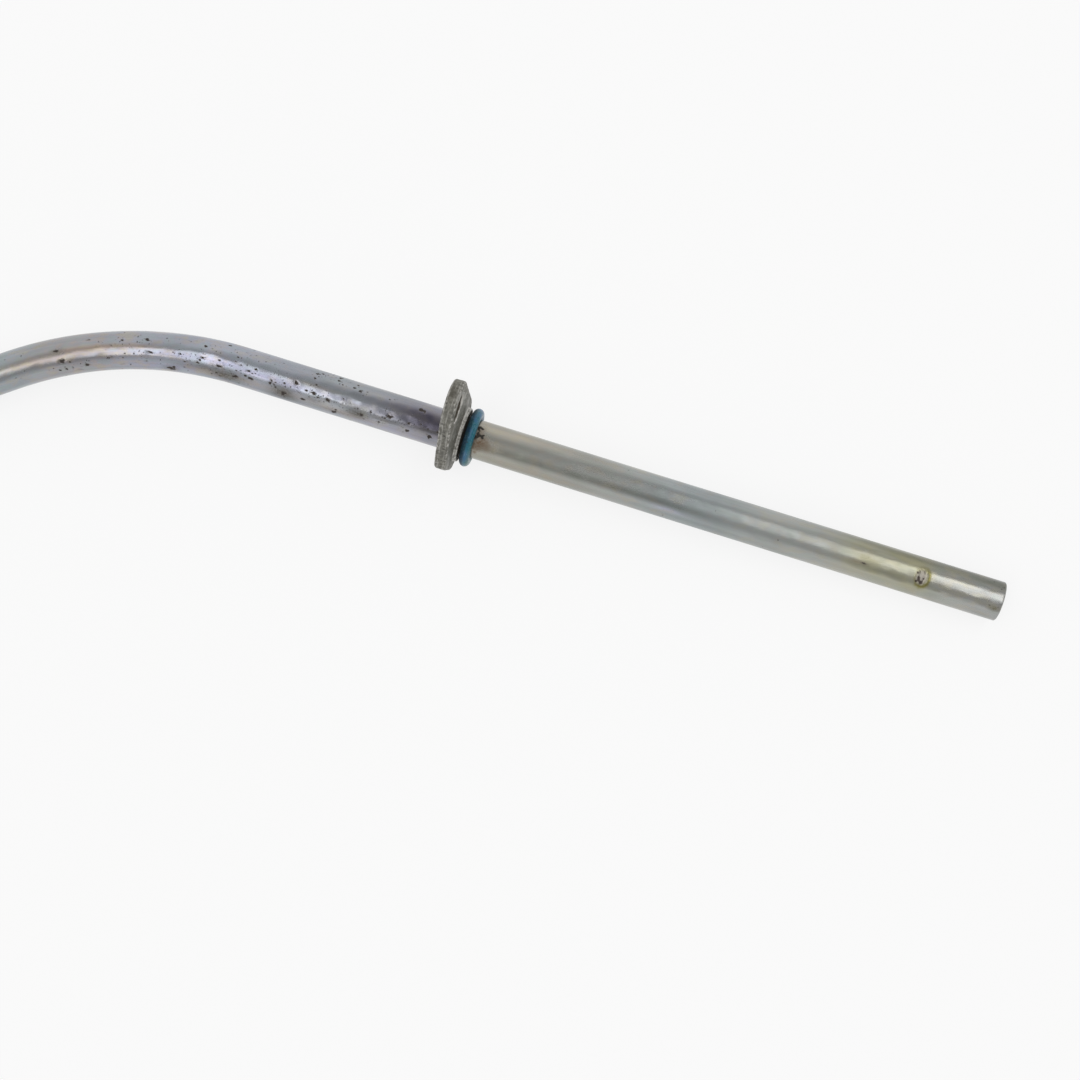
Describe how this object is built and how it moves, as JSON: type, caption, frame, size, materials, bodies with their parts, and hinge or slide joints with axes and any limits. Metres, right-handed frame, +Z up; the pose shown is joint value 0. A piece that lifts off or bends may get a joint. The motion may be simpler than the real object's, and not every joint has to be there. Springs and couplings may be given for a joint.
{
  "type": "oil dipstick tube",
  "caption": "Bent plated guide tube for an engine oil dipstick, with a one-bolt flange and a rubber sealing ring on the lower run.",
  "frame": {"origin": "under the middle of the part's box, on the surface that it lies on", "axes": "+Z up from that surface, +X along the lower run towards the lower end, +Y to the outer side of the bend"},
  "size_m": [0.3262, 0.0798, 0.0368],
  "materials": {
    "plated_steel": "worn zinc plating with rust specks and an oil film",
    "cast_steel": "dull grained casting with worn edges",
    "blue_rubber": "smooth, oily"
  },
  "bodies": {
    "root": {"guide_tube": "plated_steel", "flange": "cast_steel", "sealing_ring": "blue_rubber"}
  },
  "joints": []
}
